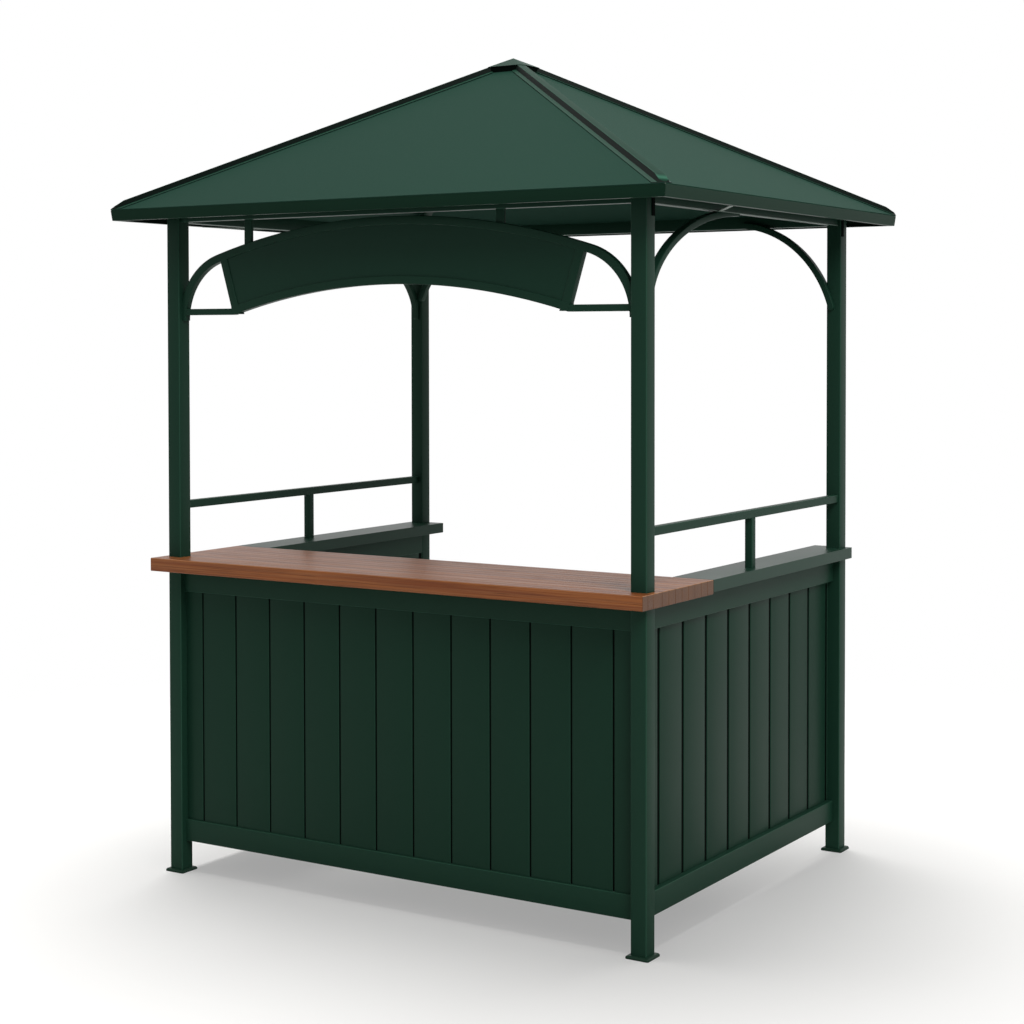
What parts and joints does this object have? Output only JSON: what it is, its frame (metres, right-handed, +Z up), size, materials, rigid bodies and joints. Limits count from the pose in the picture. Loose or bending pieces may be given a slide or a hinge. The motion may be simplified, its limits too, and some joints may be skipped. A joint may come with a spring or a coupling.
{
  "type": "garden bar pavilion",
  "caption": "Small open serving pavilion with square posts, boarded lower walls, a wooden counter, side shelves, an arched blank name board and a pitched metal sheet roof.",
  "frame": {"origin": "centre of the plan, on the ground under the foot plates", "axes": "+Z up; +X to the right seen from the counter side; the counter faces -Y and the staff side is open towards +Y"},
  "size_m": [2.0018, 1.652, 2.6375],
  "materials": {
    "frame_paint": "satin powder coat, bottle green",
    "foot_paint": "satin powder coat, bottle green",
    "board_paint": "satin powder coat, bottle green, on grooved boards",
    "shelf_paint": "satin powder coat, bottle green",
    "counter_wood": "brown oiled boards with a soft gloss",
    "roof_paint": "fine-textured powder coat, grey green",
    "trim_paint": "satin powder coat, bottle green",
    "name_board_paint": "satin powder coat, blank"
  },
  "bodies": {
    "root": {"post_front_left": "frame_paint", "post_front_right": "frame_paint", "post_back_left": "frame_paint", "post_back_right": "frame_paint", "foot_plates": "foot_paint", "front_bottom_rail": "frame_paint", "front_top_rail": "frame_paint", "front_boards": "board_paint", "left_bottom_rail": "frame_paint", "left_top_rail": "frame_paint", "left_boards": "board_paint", "right_bottom_rail": "frame_paint", "right_top_rail": "frame_paint", "right_boards": "board_paint", "counter_top": "counter_wood", "left_shelf": "shelf_paint", "right_shelf": "shelf_paint", "shelf_end_caps": "shelf_paint", "left_handrail": "frame_paint", "right_handrail": "frame_paint", "handrail_uprights": "frame_paint", "front_beam": "frame_paint", "back_beam": "frame_paint", "left_beam": "frame_paint", "right_beam": "frame_paint", "arch_top_bar": "frame_paint", "arch_ends": "frame_paint", "name_board_sheet": "name_board_paint", "name_board_bottom_bar": "frame_paint", "name_board_end_bars": "frame_paint", "name_board_stays": "frame_paint", "arch_hangers": "frame_paint", "side_braces": "frame_paint", "back_braces": "frame_paint", "hip_rafters": "frame_paint", "roof_sheet_front": "roof_paint", "roof_sheet_back": "roof_paint", "roof_sheet_left": "roof_paint", "roof_sheet_right": "roof_paint", "hip_caps": "trim_paint", "roof_top_cap": "trim_paint", "eave_trim_front": "trim_paint", "eave_trim_back": "trim_paint", "eave_trim_left": "trim_paint", "eave_trim_right": "trim_paint"}
  },
  "joints": []
}
